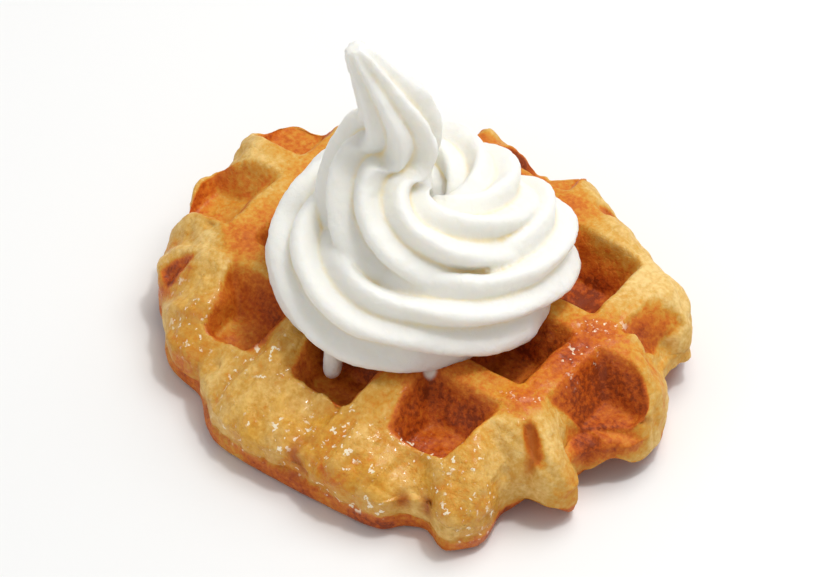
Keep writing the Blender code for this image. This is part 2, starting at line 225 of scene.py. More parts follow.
# How baked, from 0 to 1: ridges near the rim and what comes on top of it farther in and at
# crossings, walls, and how much paler floors are. FOOT_BAKED is the foot's ridges, how much more
# its walls are baked and how much less its floors.
RIDGE_BAKED = (0.20, 0.34, 0.22)
WALL_BAKED = 0.88
FLOOR_PALER = 0.24
FOOT_BAKED = (0.62, 0.25, 0.15)
BAND_BAKED = 0.60
# Painted shade and light on the free dough: how much darker its hollows and lighter its lumps, and how much
# darker the crease over the band.
HOLLOW_SHADE = 0.26
CREASE_SHADE = 0.25
BAKED_RANGE = (-0.15, 1.4)
RUNNY_WET = 0.4  # melted sugar all over the dough that ran free

# The cream, as in the solids: turn in degrees, then distance from the axis, height and radius.
CREAM_CENTRE = (-0.0016, 0.0021)
FRONT_ANGLE = -53.0
FLUTES = 7
FIRST_FLUTE = 50.0
UNEVEN_FLUTES = 0.6  # how far the lobes crowd on one side of the rope, in radians of their wave
ROPE = (
    (-130.0, 0.0170, 0.0060, 0.0060),
    (-95.0, 0.0215, 0.0085, 0.0100),
    (-45.0, 0.0222, 0.0092, 0.0104),
    (-5.0, 0.0222, 0.0092, 0.0106),
    (28.0, 0.0240, 0.0088, 0.0108),
    (55.0, 0.0234, 0.0096, 0.0108),
    (90.0, 0.0208, 0.0104, 0.0106),
    (135.0, 0.0168, 0.0114, 0.0104),
    (180.0, 0.0150, 0.0122, 0.0102),
    (235.0, 0.0142, 0.0134, 0.0102),
    (300.0, 0.0136, 0.0158, 0.0106),
    (360.0, 0.0128, 0.0185, 0.0112),
    (400.0, 0.0112, 0.0214, 0.0116),
    (440.0, 0.0086, 0.0260, 0.0116),
    (480.0, 0.0052, 0.0320, 0.0107),
    (515.0, 0.0022, 0.0382, 0.0091),
    (548.0, 0.0005, 0.0444, 0.0074),
    (575.0, 0.0, 0.0500, 0.0058),
    (596.0, 0.0, 0.0548, 0.0044),
    (610.0, 0.0, 0.0584, 0.0036),
    (618.0, 0.0, 0.0608, 0.0029),
    (622.0, 0.0, 0.0624, 0.0019),
)
LEAN_ANGLE = -143.0
LEAN_FROM = 0.020
TIP_LEAN = 0.0140
SLUMP = 0.16
CORE_RADIUS = 0.0130
CORE_HEIGHT = 0.0160
VOXEL = 0.00042
FLUTE_SOFTNESS = 0.10
SWELL_NOISE = (0.0005, 0.0085, 131)
ICY_NOISE = (0.00015, 0.0014, 141)
CREASE_ROUNDS = 60  # of averaging, to tell the creases from the flutes' backs
CREASE_FULL = 0.0011  # a hollow this deep has the full painted glow of a crease
DROP_PLACE = (-0.0018, -0.0281)
DROP_TOP = 0.0270
DROP_BOTTOM = 0.0138
DROP_RADIUS = 0.0025

# Patterns of the materials, as features to a metre.
GRAIN_SCALE = 900.0
MOTTLE_SCALE = 130.0
SLOW_SCALE = 45.0
PORE_SCALE = 700.0
AMBER_SCALE = 85.0
# The painted glints' specks:
GLINT_SCALE = 620.0
BEAD_SCALE = 650.0
ICY_SCALE = 1500.0
CREAM_PATCH_SCALE = 60.0
FLOOR_SCALE = 6.0
# The crust's tone is how baked it is and the patterns' ups and downs. The ramp from floury to burnt
# starts at minus the shift and is one over the gain long.
MOTTLE_SWING = 1.4
SLOW_SWING = 1.5
GRAIN_SWING = 2.0
TONE_SHIFT = 0.40
TONE_GAIN = 0.63
GLINT_SPECKS = (0.60, 0.65)  # of the noise, from none to a full painted glint
# Painted glints: how fully their whitish colour covers the crust.
GLINT_COVER = 0.85
GLAZE_WEIGHT = 0.5
ROUGHNESS_DRY_WET = (0.55, 0.36)

# The camera: its bearing and height over the horizon, the picture's scale, and a crossing of the
# ridges with its place in the picture.
CAMERA_AZIMUTH = math.radians(37.11)
CAMERA_ELEVATION = math.radians(45.90)
CAMERA_DISTANCE = 2.056
SENSOR_WIDTH = 36.0
LENS = 435.75
PIXELS_PER_METRE = 4945.0
CROSSING = Vector(((GRID_SHIFT[0] + 1) * PITCH, (GRID_SHIFT[1] - 1) * PITCH, THICKNESS))
CROSSING_IN_VIEW = (103.3, -111.1)  # right of and above the picture's middle, in its pixels

# The stage: half the floor's side, where the lights aim, and each light's diameter and place.
FLOOR_HALF = 3.0
FLOOR_LEVEL = -0.0001
LIT_MIDDLE = (0.0, 0.0, 0.03)
OVERHEAD = (0.7, (0.10, 0.30, 0.75))
SPARKLE = (0.10, (0.16, 0.12, 0.80))
FILL = (0.7, (-0.25, -0.85, 0.45))
OVERHEAD_SHARE = 0.72
SPARKLE_SHARE = 0.30
ROOM_BRIGHTNESS = 0.45


# What every colour that a user may change has in common.
COLOUR = {"subtype": "COLOR", "size": 3, "min": 0.0, "max": 1.0}


class WaffleLook(bpy.types.PropertyGroup):
    pale: FloatVectorProperty(
        name="Pale dough",
        description="Colour of dough that the iron hardly touched",
        default=(0.68, 0.395, 0.090),
        **COLOUR,
    )
    floury: FloatVectorProperty(
        name="Floury dough",
        description="Colour of the palest specks of the dough",
        default=(0.84, 0.59, 0.23),
        **COLOUR,
    )
    golden: FloatVectorProperty(
        name="Golden crust",
        description="Colour of the lightly baked crust",
        default=(0.66, 0.300, 0.036),
        **COLOUR,
    )
    orange: FloatVectorProperty(
        name="Browned crust",
        description="Colour where the iron browned the crust",
        default=(0.62, 0.170, 0.016),
        **COLOUR,
    )
    brown: FloatVectorProperty(
        name="Deep crust",
        description="Colour of the pockets' walls",
        default=(0.45, 0.082, 0.008),
        **COLOUR,
    )
    burnt: FloatVectorProperty(
        name="Darkest crust",
        description="Colour of the darkest specks in the pockets",
        default=(0.24, 0.040, 0.006),
        **COLOUR,
    )
    soaked: FloatVectorProperty(
        name="Soaked dough",
        description="Tint where melted sugar and butter soaked in",
        default=(0.97, 0.78, 0.34),
        **COLOUR,
    )
    torn: FloatVectorProperty(
        name="Torn dough",
        description="Colour inside the tears",
        default=(0.47, 0.125, 0.014),
        **COLOUR,
    )
    # Painted glints: whitish specks in the melted sugar that stand for the light it catches.
    painted_glint: FloatVectorProperty(
        name="Sugar crystals",
        description="Colour of the small crystals in the melted sugar",
        default=(1.0, 0.90, 0.68),
        **COLOUR,
    )
    milky: FloatVectorProperty(
        name="Melted cream",
        description="Colour of the thin film of melted cream on the crust",
        default=(0.80, 0.74, 0.66),
        **COLOUR,
    )
    lumpiness: FloatProperty(
        name="Lumpiness",
        description="How far the dough's skin swells and sinks",
        default=0.0010,
        unit="LENGTH",
    )


class CreamLook(bpy.types.PropertyGroup):
    colour: FloatVectorProperty(
        name="Cream",
        description="Colour of the soft-serve cream",
        default=(0.88, 0.865, 0.805),
        **COLOUR,
    )
    # Painted glow: the warm tint deep in the folds stands for light glowing through the cream there.
    crease: FloatVectorProperty(
        name="Creases",
        description="Colour deep in the folds, where the cream is wetter",
        default=(0.94, 0.80, 0.44),
        **COLOUR,
    )
    flute_depth: FloatProperty(
        name="Flute depth",
        description="Depth of the rope's grooves as a share of its radius",
        default=0.34,
        min=0.0,
        max=0.6,
    )


class StageLook(bpy.types.PropertyGroup):
    floor: FloatVectorProperty(
        name="Floor",
        description="Colour of the plain floor",
        default=(0.86, 0.86, 0.85),
        **COLOUR,
    )
    overhead_power: FloatProperty(
        name="Overhead light",
        description="Power of the large soft light above and behind",
        default=5.5,
        unit="POWER",
    )
    fill_power: FloatProperty(
        name="Fill light",
        description="Power of the weak light from the front",
        default=0.9,
        unit="POWER",
    )


# Shapes


def grid_faces(rows, columns, closed_rows=False):
    """Quads of a grid of points as an array; with closed_rows each row joins its own start."""
    row = np.arange(rows - 1)[:, None]
    column = np.arange(columns if closed_rows else columns - 1)[None, :]
    after = (column + 1) % columns
    corners = (
        row * columns + column,
        row * columns + after,
        (row + 1) * columns + after,
        (row + 1) * columns + column,
    )
    return np.stack(np.broadcast_arrays(*corners), axis=-1).reshape(-1, 4)


def tube_faces(rows, around):
    """Quads of a tube of rings, and a face across each of its two ends."""
    faces = grid_faces(rows, around, closed_rows=True).tolist()
    faces.append(list(range(around - 1, -1, -1)))
    faces.append(list(range((rows - 1) * around, rows * around)))
    return faces


def turned_body(centre, radii, heights, around):
    """A body of revolution about an upright axis: rings of the radii at the heights."""
    circle = np.linspace(0, 2 * math.pi, around, endpoint=False)
    x = centre[0] + radii[:, None] * np.cos(circle)
    y = centre[1] + radii[:, None] * np.sin(circle)
    z = heights[:, None] + 0 * circle
    return np.stack((x, y, z), axis=-1).reshape(-1, 3), tube_faces(len(radii), around)


def new_piece(name, points, faces, triangles=()):
    """A mesh object from an array of points, and its faces as rows of corners."""
    mesh = bpy.data.meshes.new(name)
    mesh.from_pydata(np.asarray(points).reshape(-1, 3), [], [*faces, *triangles])
    mesh.shade_smooth()
    piece = bpy.data.objects.new(name, mesh)
    bpy.context.scene.collection.objects.link(piece)
    return piece


def store(mesh, name, values):
    """Keeps one number for each point of the mesh, for its material to read."""
    layer = mesh.attributes.new(name, "FLOAT", "POINT")
    layer.data.foreach_set("value", np.asarray(values, np.float32).ravel())


def read_vertices(mesh, what):
    """The places or the normals of the mesh's points, as rows of three."""
    values = np.empty(len(mesh.vertices) * 3, np.float32)
    mesh.vertices.foreach_get(what, values)
    return values.reshape(-1, 3).astype(float)


def read_edges(mesh):
    """The two ends of each edge, as two arrays."""
    ends = np.empty(len(mesh.edges) * 2, np.int32)
    mesh.edges.foreach_get("vertices", ends)
    return ends.reshape(-1, 2).T


def lattice_noise(points, size, seed):
    """Smooth noise from -1 to 1: random values on a cubic lattice, eased between its corners."""
    table = np.random.default_rng(seed).uniform(-1.0, 1.0, (32, 32, 32))
    at = np.asarray(points) / size + 400.5
    low = np.floor(at).astype(int)
    t = at - low
    t = t * t * t * (t * (6 * t - 15) + 10)
    total = np.zeros(at.shape[:-1])
    for corner in itertools.product((0, 1), repeat=3):
        weight = np.prod(np.where(corner, t, 1 - t), axis=-1)
        cell = (low + corner) % 32
        total += weight * table[cell[..., 0], cell[..., 1], cell[..., 2]]
    return total


def layered_noise(points, size, seed, layers=2):
    """The sum of noises, each half the size and half the height of the one before."""
    total = 0.0
    for layer in range(layers):
        total = total + lattice_noise(points, size / 2**layer, seed + layer) / 2**layer
    return total / (2 - 0.5 ** (layers - 1))


def noise_of(points, kind):
    """Two layers of noise with the height, size and seed of its kind."""
    height, size, seed = kind
    return height * layered_noise(points, size, seed)


def eased(values, low, high):
    """0 below low, 1 above high and a smooth step between."""
    t = np.clip((values - low) / (high - low), 0.0, 1.0)
    return t * t * (3 - 2 * t)


def soft_min(a, b, width):
    """The lower of two heights, blended over the width where they cross."""
    near = np.clip(0.5 + 0.5 * (b - a) / width, 0.0, 1.0)
    return b * (1 - near) + a * near - width * near * (1 - near)


def soft_ramp(values, low, high, softness):
    """From 0 at low to 1 at high in a straight line, with both corners rounded."""
    t = (values - low) / (high - low)
    start = softness * np.logaddexp(0.0, t / softness)
    end = softness * np.logaddexp(0.0, (t - 1) / softness)
    return start - end


def closed_spline(points, steps):
    """A smooth closed curve through the points: the Catmull-Rom spline, steps to a span."""
    here = np.asarray(points, float)
    before, after, beyond = (np.roll(here, shift, axis=0) for shift in (1, -1, -2))
    t = np.linspace(0.0, 1.0, steps, endpoint=False)[:, None, None]
    curve = 0.5 * (
        2 * here
        + (after - before) * t
        + (2 * before - 5 * here + 4 * after - beyond) * t**2
        + (3 * here - before - 3 * after + beyond) * t**3
    )
    return curve.transpose(1, 0, 2).reshape(-1, 2)


def outline_radius(angles):
    """Distance from the middle to the outline in each direction."""
    curve = (closed_spline(OUTLINE, 12) + GRID_SHIFT) * PITCH
    around = np.arctan2(curve[:, 1], curve[:, 0])
    return np.interp(angles, around, np.hypot(curve[:, 0], curve[:, 1]), period=2 * math.pi)


def smooth_radius(angles):
    """The outline's radius averaged over a sixth of a turn, for the inner part of the grid."""
    spread = np.linspace(-math.pi / 6, math.pi / 6, 25)
    return np.mean([outline_radius(angles + turn) for turn in spread], axis=0)


def iron_pattern(x, y, depth):
    """How far the iron presses in, and the distances to the nearest ridge lines."""
    from_x = np.abs((x / PITCH - GRID_SHIFT[0] + 0.5) % 1.0 - 0.5) * PITCH
    from_y = np.abs((y / PITCH - GRID_SHIFT[1] + 0.5) % 1.0 - 0.5) * PITCH
    nearest = soft_min(from_x, from_y, CORNER_BLEND)
    return depth * soft_ramp(nearest, RIDGE_EDGE, FLOOR_EDGE, WALL_ROUNDING), from_x, from_y


def disc_grid(cells):
    """A square grid of points bent to fill a disc: radius 0 to 1 and bearing of each."""
    line = np.linspace(-1.0, 1.0, cells + 1)
    across, along = np.meshgrid(line, line, indexing="ij")
    u = across * np.sqrt(1 - along**2 / 2)
    v = along * np.sqrt(1 - across**2 / 2)
    return np.minimum(np.hypot(u, v), 1.0), np.arctan2(v, u)


def border_of(cells):
    """Indices of a square grid's outer points, in order round it."""
    side = cells + 1
    index = np.arange(side * side).reshape(side, side)
    return np.concatenate((index[:-1, 0], index[-1, :-1], index[:0:-1, -1], index[0, :0:-1]))


def free_dough(angles):
    """From 0 to 1, how far the dough ran free of the iron in each direction: a flat-topped bell."""
    turn = (angles - FREE_DOUGH_ANGLE + math.pi) % (2 * math.pi) - math.pi
    return np.exp(-((turn / FREE_DOUGH_SPREAD) ** 4))


def dome(inset, width, power):
    """A quarter superellipse from 0 at the rim to 1 where the inset reaches the width."""
    return (1 - np.clip(1 - inset / width, 0.0, 1.0) ** power) ** (1 / power)


def inset_along(share, width, rise, power, reach, steps=400):
    """The inset from the rim at each share of the way along the dome's arc and on to the middle."""
    inset = np.append(width * np.linspace(0.0, 1.0, steps) ** 2, reach)
    height = rise * dome(inset, width, power)
    length = np.concatenate(([0.0], np.cumsum(np.hypot(np.diff(inset), np.diff(height)))))
    return np.interp(share, length / length[-1], inset)


def placed_on_dome(cells, pressed_dome, free_dome, rise):
    """The plan places, dome heights, insets and freedom of a disc grid that is even along the dome."""
    radius, bearing = disc_grid(cells)
    ragged = outline_radius(bearing)
    even = smooth_radius(bearing)
    free = free_dough(bearing)
    pressed_inset, free_inset = (
        inset_along(1 - radius, width, rise, power, MEAN_RADIUS) for width, power in (pressed_dome, free_dome)
    )
    inset = (1 - free) * pressed_inset + free * free_inset
    width, power = (low + (high - low) * free for low, high in zip(pressed_dome, free_dome))
    share = 1 - inset / MEAN_RADIUS
    reach = even + (ragged - even) * eased(share, 0.35, 1.0)
    x = share * reach * np.cos(bearing)
    y = share * reach * np.sin(bearing)
    return x, y, rise * dome(inset, width, power), inset, free


def bells(x, y, places):
    """The sum over the places in plan of amount times a bell as wide as the radius."""
    total = np.zeros_like(x)
    for across, along, radius, amount in places:
        gap_x = x - (across + GRID_SHIFT[0]) * PITCH
        gap_y = y - (along + GRID_SHIFT[1]) * PITCH
        total += amount * np.exp(-(gap_x**2 + gap_y**2) / radius**2)
    return total


def from_crossing(place):
    """A place given in pitches from the reference crossing and millimetres up, in metres."""
    across, along, up = place
    return np.array(((across + GRID_SHIFT[0]) * PITCH, (along + GRID_SHIFT[1]) * PITCH, up * MM))


def near_places(points, places):
    """The sum over the places of amount times a bell as wide as the radius, at each point."""
    total = np.zeros(points.shape[:-1])
    for *place, radius, amount in places:
        gap = ((points - from_crossing(place)) ** 2).sum(axis=-1)
        total += amount * np.exp(-gap / (radius * MM) ** 2)
    return total


def along_tears(points, tears):
    """How deep each tear cuts, in metres: a bell across the nearest stretch of its line."""
    total = np.zeros(points.shape[:-1])
    for width, depth, line in tears:
        corners = [from_crossing(place) for place in line]
        gap = np.full(points.shape[:-1], np.inf)
        for start, end in zip(corners[:-1], corners[1:]):
            ahead = end - start
            t = np.clip(((points - start) @ ahead) / (ahead @ ahead), 0.0, 1.0)
            nearest = start + t[..., None] * ahead
            gap = np.minimum(gap, ((points - nearest) ** 2).sum(axis=-1))
        total = np.maximum(total, depth * MM * np.exp(-gap / (width * MM) ** 2))
    return total


def iron_marks(x, y, depth):
    """The iron's pressing-in, and masks of what it browns: walls, floors and crossings."""
    drop, from_x, from_y = iron_pattern(x, y, depth)
    fall = drop / depth
    ragged = fall + noise_of(np.stack((x, y, 0 * x), axis=-1), RAGGED_NOISE)
    wall = 0.55 * eased(ragged, 0.02, 0.16) + 0.45 * eased(ragged, 0.10, 0.45)
    floor = eased(fall, 0.88, 0.98)
    crossing = np.exp(-((from_x**2 + from_y**2) / 0.0055**2))
    return drop, wall, floor, crossing


def waffle_top():
    """The top grid: the lower of the iron's pattern and the dough's dome, blended, and its marks."""
    rise = THICKNESS + TOP_DOME_RISE - RIM_HEIGHT
    x, y, lift, inset, free = placed_on_dome(TOP_CELLS, PRESSED_DOME, FREE_DOME, rise)
    flat = np.stack((x, y, 0 * x), axis=-1)
    sway = noise_of(flat, SWAY_NOISE)
    drop, wall, floor, crossing = iron_marks(x + sway, y - sway, TOP_DEPTH)
    filled = np.minimum(bells(x, y, FILLED), 1.0)
    uneven, size, seed = DEPTH_NOISE
    iron = THICKNESS - drop * (1 + uneven * lattice_noise(flat, size, seed)) * (1 - filled)
    lobes = LOBES * free * np.cos(2 * math.pi * (x / PITCH - GRID_SHIFT[0])) * eased(inset, 0.001, 0.009)
    dough = RIM_HEIGHT + lift - np.minimum(bells(x, y, LOW_RIMS), 0.8 * lift) + lobes
    z = soft_min(iron, dough, TOP_BLEND)
    points = np.stack((x, y, z), axis=-1)
    pressed = eased(dough - iron, *TOP_PRESSED)
    near_rim, farther_in, at_crossing = RIDGE_BAKED
    ridge = near_rim + farther_in * eased(inset, 0.009, 0.030) + at_crossing * crossing
    baked_and_shaded = ridge + (WALL_BAKED - ridge) * wall - FLOOR_PALER * floor
    baked_and_shaded *= pressed * (1 - 0.8 * filled)
    marks = {"pressed": pressed, "baked_and_shaded": baked_and_shaded, "inset": inset, "runny": free, "band": 0 * x}
    return points, marks


def waffle_bottom():
    """The bottom grid: the higher of the iron's pattern and the dough's foot, blended.

    In front the foot is a band, pressed upright by the iron's edge, under a fold of dough.
    """
    x, y, lift, inset, free = placed_on_dome(BOTTOM_CELLS, FOOT_DOME, BAND_DOME, RIM_HEIGHT)
    drop, wall, floor, _ = iron_marks(x, y, BOTTOM_DEPTH)
    drop = drop * (1 - free * (1 - eased(inset, 0.0045, 0.0100)))
    dough = RIM_HEIGHT - lift
    z = np.maximum(-soft_min(-drop, -dough, BOTTOM_BLEND), 0.0)
    points = np.stack((x, y, z), axis=-1)
    level, blur = FOOT_PRESSED
    pressed = eased(level - dough, -blur, blur)
    top_edge = BAND_HEIGHT + noise_of(points * (1, 1, 0), BAND_NOISE)
    band = free * eased(top_edge - z, -0.0001, 0.0005)
    ridge, wall_more, floor_less = FOOT_BAKED
    baked_and_shaded = np.maximum(pressed * (ridge + wall_more * wall - floor_less * floor), BAND_BAKED * band)
    marks = {"pressed": pressed, "baked_and_shaded": baked_and_shaded, "inset": inset, "runny": free, "band": band}
    return points, marks


def grid_normals(points):
    """Unit normals of a grid of points, from the steps along its rows and columns."""
    across = np.gradient(points, axis=0)
    along = np.gradient(points, axis=1)
    normal = np.cross(across, along)
    return normal / np.maximum(np.linalg.norm(normal, axis=-1, keepdims=True), 1e-12)


def strands(points, across, along, seed):
    """Noise drawn out into strands that run straight out to the rim on every side."""
    x, y = points[..., 0], points[..., 1]
    outward = x**2 / np.maximum(x**2 + y**2, 1e-12)
    sizes = np.array((across, along))
    to_side = np.append(sizes[::-1], along)
    to_front = np.append(sizes, along)
    side = layered_noise(points / to_side, 1.0, seed)
    front = layered_noise(points / to_front, 1.0, seed)
    return outward * side + (1 - outward) * front


def skin(points, marks, lumpiness, outward):
    """Moves a grid along its normals.

    Free dough swells in billows, which are noise with its lower half folded up, so that lumps
    meet in creases, and is drawn out into strands; its hollows get painted shade and its lumps
    painted light. Pressed crust is only a little uneven. The foot's band stands back under a
    crease, which is painted darker as shade. Swells and tears are added by place.
    """
    normal = outward * grid_normals(points)
    free = 1 - marks["pressed"]
    slow = noise_of(points, SLOW_NOISE) * (0.3 + 0.7 * free)
    billow = np.abs(noise_of(points, BILLOW_NOISE)) - 0.25 * BILLOW_NOISE[0]
    string = STRAND_HEIGHT * strands(points, *STRAND_SIZE, STRAND_SEED)
    crumple = 0.4 * CRUMPLE_NOISE[0] - np.abs(noise_of(points, CRUMPLE_NOISE))
    relief = free * (billow + string + crumple)
    grain = noise_of(points, GRAIN_NOISE) * (1 - 0.4 * free)
    edge = noise_of(points, EDGE_NOISE) * marks["pressed"]
    calm = 1 - CALM_BAND * marks["band"]
    from_band = (points[..., 2] - BAND_HEIGHT) / CREASE_WIDTH
    crease = marks["runny"] * np.exp(-(from_band**2)) * (marks["inset"] < 0.006)
    moved = (lumpiness * (slow + relief) + grain + edge) * calm - CREASE_DEPTH * crease
    tear = along_tears(points, TEARS)
    marks["torn"] = np.clip(tear / TEAR_FULL, 0.0, 1.0) ** 0.7
    moved += MM * near_places(points, SWELLS) - tear
    # Painted shade in the hollows and the band's crease, painted light on the lumps.
    marks["baked_and_shaded"] = marks["baked_and_shaded"] - HOLLOW_SHADE * relief + CREASE_SHADE * crease
    return points + normal * moved[..., None]


def finish_marks(points, marks):
    """What the crust's material reads: how baked, with painted shade and shadow in it, how wet with sugar and
    how deep in a tear.
    """
    # Browning by place, one of which is the cream's painted shadow on a pocket's floor.
    baked_and_shaded = marks["baked_and_shaded"] + near_places(points, BROWNED_AND_SHADED)
    wet = near_places(points, WET) + RUNNY_WET * marks["runny"] * (1 - marks["pressed"])
    return {
        "baked_and_shaded": np.clip(baked_and_shaded, *BAKED_RANGE),
        "wet": np.clip(wet, 0.0, 1.0),
        "torn": marks["torn"],
        "milky": np.clip(near_places(points, MILKY), 0.0, 1.0),
    }


def join_grids():
    """Faces of two disc grids, the lower with half the cells, which share every other rim point."""
    side, half_side = TOP_CELLS + 1, BOTTOM_CELLS + 1
    top_faces = grid_faces(side, side)[:, ::-1]
    index = side * side + np.arange(half_side * half_side)
    upper = border_of(TOP_CELLS)
    lower = border_of(BOTTOM_CELLS)
    index[lower] = upper[0::2]
    bottom_faces = index[grid_faces(half_side, half_side)]
    slivers = np.stack((np.roll(upper, -2)[0::2], upper[1::2], upper[0::2]), axis=-1)
    return top_faces, bottom_faces, slivers


def make_waffle(lumpiness):
    """The crust as one closed mesh, with the marks that its material reads."""
    top, top_marks = waffle_top()
    bottom, bottom_marks = waffle_bottom()
    top = skin(top, top_marks, lumpiness, 1.0)
    bottom = skin(bottom, bottom_marks, lumpiness, -1.0)
    bottom[..., 2] = np.maximum(bottom[..., 2], 0.0)
    marks = {}
    for name, values in top_marks.items():
        marks[name] = np.concatenate((values.ravel(), bottom_marks[name].ravel()))
    points = np.concatenate((top.reshape(-1, 3), bottom.reshape(-1, 3)))
    top_faces, bottom_faces, slivers = join_grids()
    used = np.ones(len(points), bool)
    used[len(top.reshape(-1, 3)) + border_of(BOTTOM_CELLS)] = False
    renumber = np.cumsum(used) - 1
    faces = [renumber[part].tolist() for part in (top_faces, bottom_faces, slivers)]
    waffle = new_piece("crust", points[used], [*faces[0], *faces[1]], faces[2])
    marks = {name: values[used] for name, values in marks.items()}
    for name, values in finish_marks(points[used], marks).items():
        store(waffle.data, name, values)
    return waffle


def rope_table(steps):
    """The rope's angle, distance, height and radius, interpolated smoothly at even steps."""
    table = np.array(ROPE)
    at = np.linspace(0, len(table) - 1, steps)
    slopes = np.gradient(table, axis=0)
    low = np.minimum(at.astype(int), len(table) - 2)
    t = (at - low)[:, None]
    start, end = table[low], table[low + 1]
    return (
        start * (2 * t**3 - 3 * t**2 + 1)
        + slopes[low] * (t**3 - 2 * t**2 + t)
        + end * (3 * t**2 - 2 * t**3)
        + slopes[low + 1] * (t**3 - t**2)
    )


def star_radius(phase, depth, softness):
    """Lobes and grooves, 1 on a lobe: half a cosine wave and half rounded lobes with narrow grooves."""
    lobe = np.sqrt(np.cos(phase / 2) ** 2 + softness**2)
    wave = 0.5 + 0.5 * np.cos(phase)
    return 1 - depth * (1 - 0.5 * np.minimum(lobe, 1.0) - 0.5 * wave)


def fluted_rope(depth, steps=760, around=168):
    """The star carried along the spiral, square to it. A flute climbs as fast as the rope turns."""
    turn, distance, height, radius = rope_table(steps).T
    bearing = np.radians(FRONT_ANGLE - turn)
    tip = ROPE[-1][2]
    lean = TIP_LEAN * (np.maximum(height - LEAN_FROM, 0.0) / (tip - LEAN_FROM)) ** 1.5
    towards = math.radians(LEAN_ANGLE)
    path = np.stack(
        (
            CREAM_CENTRE[0] + distance * np.cos(bearing) + lean * math.cos(towards),
            CREAM_CENTRE[1] + distance * np.sin(bearing) + lean * math.sin(towards),
            THICKNESS + height,
        ),
        axis=-1,
    )
    ahead = np.gradient(path, axis=0)
    ahead /= np.linalg.norm(ahead, axis=1, keepdims=True)
    outward = np.stack((np.cos(bearing), np.sin(bearing), 0 * bearing), axis=-1)
    outward -= (outward * ahead).sum(axis=1, keepdims=True) * ahead
    outward /= np.linalg.norm(outward, axis=1, keepdims=True)
    upward = np.cross(ahead, outward)
    section = np.linspace(0, 2 * math.pi, around, endpoint=False)
    roll = np.radians(FIRST_FLUTE + turn)
    phase = FLUTES * (section[None, :] - roll[:, None])
    phase += UNEVEN_FLUTES * np.sin(section[None, :] + 0.8 * np.radians(turn)[:, None])
    spread = radius[:, None] * star_radius(phase, depth, FLUTE_SOFTNESS)
    spread *= 1 + 2 * SLUMP * np.maximum(-np.sin(section), 0) * np.maximum(np.cos(section), 0)
    points = (
        path[:, None, :]
        + spread[..., None] * np.cos(section)[None, :, None] * outward[:, None, :]
        + spread[..., None] * np.sin(section)[None, :, None] * upward[:, None, :]
    )
    return points.reshape(-1, 3), tube_faces(steps, around)


def swirl_core(rows=24, around=64):
    """A low mound inside the turns: a half ellipse turned about the swirl's axis."""
    level = np.linspace(-0.5 * math.pi, 0.5 * math.pi, rows)[1:-1]
    height = THICKNESS + CORE_HEIGHT * np.sin(level)
    return turned_body(CREAM_CENTRE, CORE_RADIUS * np.cos(level), height, around)


def hanging_drop(rows=28, around=40):
    """A body of revolution, widest near its lower end and narrower where it hangs from the cream."""
    fall = np.linspace(0.0, 1.0, rows)
    radius = DROP_RADIUS * np.maximum((0.62 + 0.38 * fall) * (1 - fall**6) ** 0.5, 0.12)
    height = DROP_TOP + (DROP_BOTTOM - DROP_TOP) * fall
    points, faces = turned_body(DROP_PLACE, radius, height, around)
    return points, [face[::-1] for face in faces]


def apply_modifiers(piece):
    """Replaces the piece's mesh by what its modifiers make of it."""
    bpy.context.view_layer.update()
    graph = bpy.context.evaluated_depsgraph_get()
    mesh = bpy.data.meshes.new_from_object(piece.evaluated_get(graph))
    piece.modifiers.clear()
    piece.data = mesh
    return mesh


def keep_largest_shell(mesh):
    """Drops the hollows that the turns closed over, by spreading one label along the edges."""
    count = len(mesh.vertices)
    a, b = read_edges(mesh)
    label = np.arange(count)
    while True:
        lowest = np.minimum(label[a], label[b])
        fresh = label.copy()
        np.minimum.at(fresh, a, lowest)
        np.minimum.at(fresh, b, lowest)
        fresh = fresh[fresh]
        if (fresh == label).all():
            break
        label = fresh
    names, sizes = np.unique(label, return_counts=True)
    if len(names) > 1:
        outer = names[np.argmax(sizes)]
        shape = bmesh.new()
        shape.from_mesh(mesh)
        shape.verts.ensure_lookup_table()
        inner = [shape.verts[index] for index in np.flatnonzero(label != outer)]
        bmesh.ops.delete(shape, geom=inner, context="VERTS")
        shape.to_mesh(mesh)
        shape.free()


def hollows(mesh, rounds):
    """How deep each point lies in a hollow: the way, along its normal, that averaging moves it.

    Each round moves every point half-way to the mean of the points that its edges lead to.
    """
    points = read_vertices(mesh, "co")
    count = len(points)
    a, b = read_edges(mesh)
    around = (np.bincount(a, minlength=count) + np.bincount(b, minlength=count))[:, None]
    relaxed = points.copy()
    for _ in range(rounds):
        total = [np.bincount(a, axis[b], count) + np.bincount(b, axis[a], count) for axis in relaxed.T]
        relaxed = 0.5 * relaxed + 0.5 * np.stack(total, axis=-1) / around
    return ((relaxed - points) * read_vertices(mesh, "normal")).sum(axis=-1)


def frost(mesh):
    """Moves the cream's points along their normals: slow noise, and a fine icy grain."""
    points = read_vertices(mesh, "co")
    height = noise_of(points, SWELL_NOISE) + noise_of(points, ICY_NOISE)
    moved = points + read_vertices(mesh, "normal") * height[:, None]
    moved[:, 2] = np.maximum(moved[:, 2], points[:, 2].min())
    mesh.vertices.foreach_set("co", moved.astype(np.float32).ravel())
    mesh.update()


